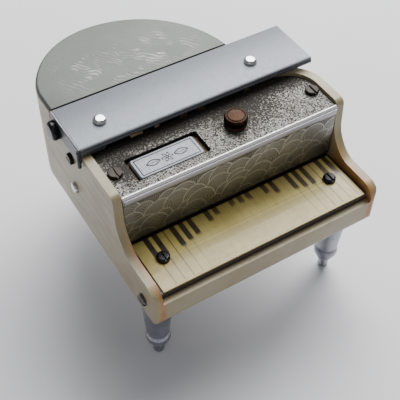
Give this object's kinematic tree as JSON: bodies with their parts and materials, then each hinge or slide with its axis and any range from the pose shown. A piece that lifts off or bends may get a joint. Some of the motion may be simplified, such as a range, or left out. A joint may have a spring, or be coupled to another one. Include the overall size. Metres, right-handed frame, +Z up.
{
  "type": "grand piano table lighter",
  "caption": "Miniature grand piano that is a table lighter: ivory case, metal lid and flap; pressing the keyboard lifts the flap over wick and striker wheel.",
  "frame": {"origin": "on the floor under the middle of the whole object", "axes": "+Z up, +X to the right seen from the keyboard, +Y from the keyboard to the tail"},
  "size_m": [0.0836, 0.0932, 0.0708],
  "materials": {
    "ivory_case": "moulded, lightly yellowed, semi-gloss",
    "lid_metal": "satin, engraved",
    "flap_metal": "satin chrome",
    "deck_metal": "worn and pitted plating",
    "fallboard_metal": "engraved and darkened",
    "plate_metal": "satin chrome",
    "chrome": "polished",
    "leg_metal": "turned, satin",
    "key_print": "printed sheet, worn",
    "key_board": "dark brown board",
    "dark_screw": "blackened",
    "brass": "tarnished",
    "steel": "plain",
    "knob": "brown, knurled edge",
    "wick": "cotton",
    "seal": "plain",
    "base": "black",
    "flint": "plain"
  },
  "bodies": {
    "case": {"case_shell": "ivory_case", "base_plate": "base", "base_screws": "steel", "leg_front_left": "leg_metal", "leg_front_right": "leg_metal", "leg_rear": "leg_metal", "leg_nuts": "steel", "rear_lid": "lid_metal", "deck_plate": "deck_metal", "deck_screw_left": "dark_screw", "deck_screw_right": "dark_screw", "fallboard": "fallboard_metal", "fuel_tank": "brass", "tank_bottom": "brass", "wadding": "wick", "wick_tube": "brass", "wick": "wick", "filler_gasket": "seal", "name_plate": "plate_metal", "striker_frame": "brass", "striker_axle": "steel", "flint_tube": "brass", "flint": "flint", "flint_spring": "steel", "flint_screw": "brass", "side_plate_right": "steel", "side_plate_left": "steel", "side_screw": "dark_screw", "side_pin": "chrome", "hinge_screw": "dark_screw", "hinge_pin": "steel", "key_pivot_pin": "steel", "return_spring": "steel"},
    "flap": {"flap": "flap_metal", "flap_bracket": "brass", "crank_pin": "steel", "flap_rivet_left": "chrome", "flap_rivet_right": "chrome", "snuffer_cap": "brass", "striker_pawl": "steel"},
    "link": {"flap_link": "steel"},
    "keyboard": {"key_board": "key_board", "key_plate": "key_print", "key_lever": "steel", "key_screw_left": "dark_screw", "key_screw_right": "dark_screw", "lever_pin": "steel"},
    "striker": {"striker_wheel": "steel"},
    "filler": {"filler_screw": "knob"}
  },
  "joints": [
    {"name": "flap_hinge", "type": "hinge", "parent": "case", "child": "flap", "pos_m": [0, 0.0103, 0.0645], "axis": [-1, 0, 0], "range_deg": [0, 60]},
    {"name": "key_press", "type": "hinge", "parent": "case", "child": "keyboard", "pos_m": [0, -0.0397, 0.0384], "axis": [-1, 0, 0], "range_deg": [0, 6.64], "stiffness_Nm_per_rad": 0.05, "springref_deg": -5.73, "deforming": ["return_spring"]},
    {"name": "link_slide", "type": "slide", "parent": "case", "child": "link", "axis": [0, 0, -1], "range_m": [0, 0.00521]},
    {"name": "striker_spin", "type": "hinge", "parent": "case", "child": "striker", "pos_m": [-0.0041, 0.0023, 0.0604], "axis": [-1, 0, 0], "range_deg": [-150, 0]},
    {"name": "filler_turn", "type": "hinge", "parent": "case", "child": "filler", "pos_m": [0.0072, -0.0152, 0.066], "axis": [0, 0, 1], "continuous": true}
  ],
  "couplings": [
    {"joint": "key_press", "follows": "flap_hinge", "ratio": 0.11051},
    {"joint": "link_slide", "follows": "flap_hinge", "m_per_rad": 0.004962},
    {"joint": "striker_spin", "follows": "flap_hinge", "ratio": -2.3613}
  ]
}
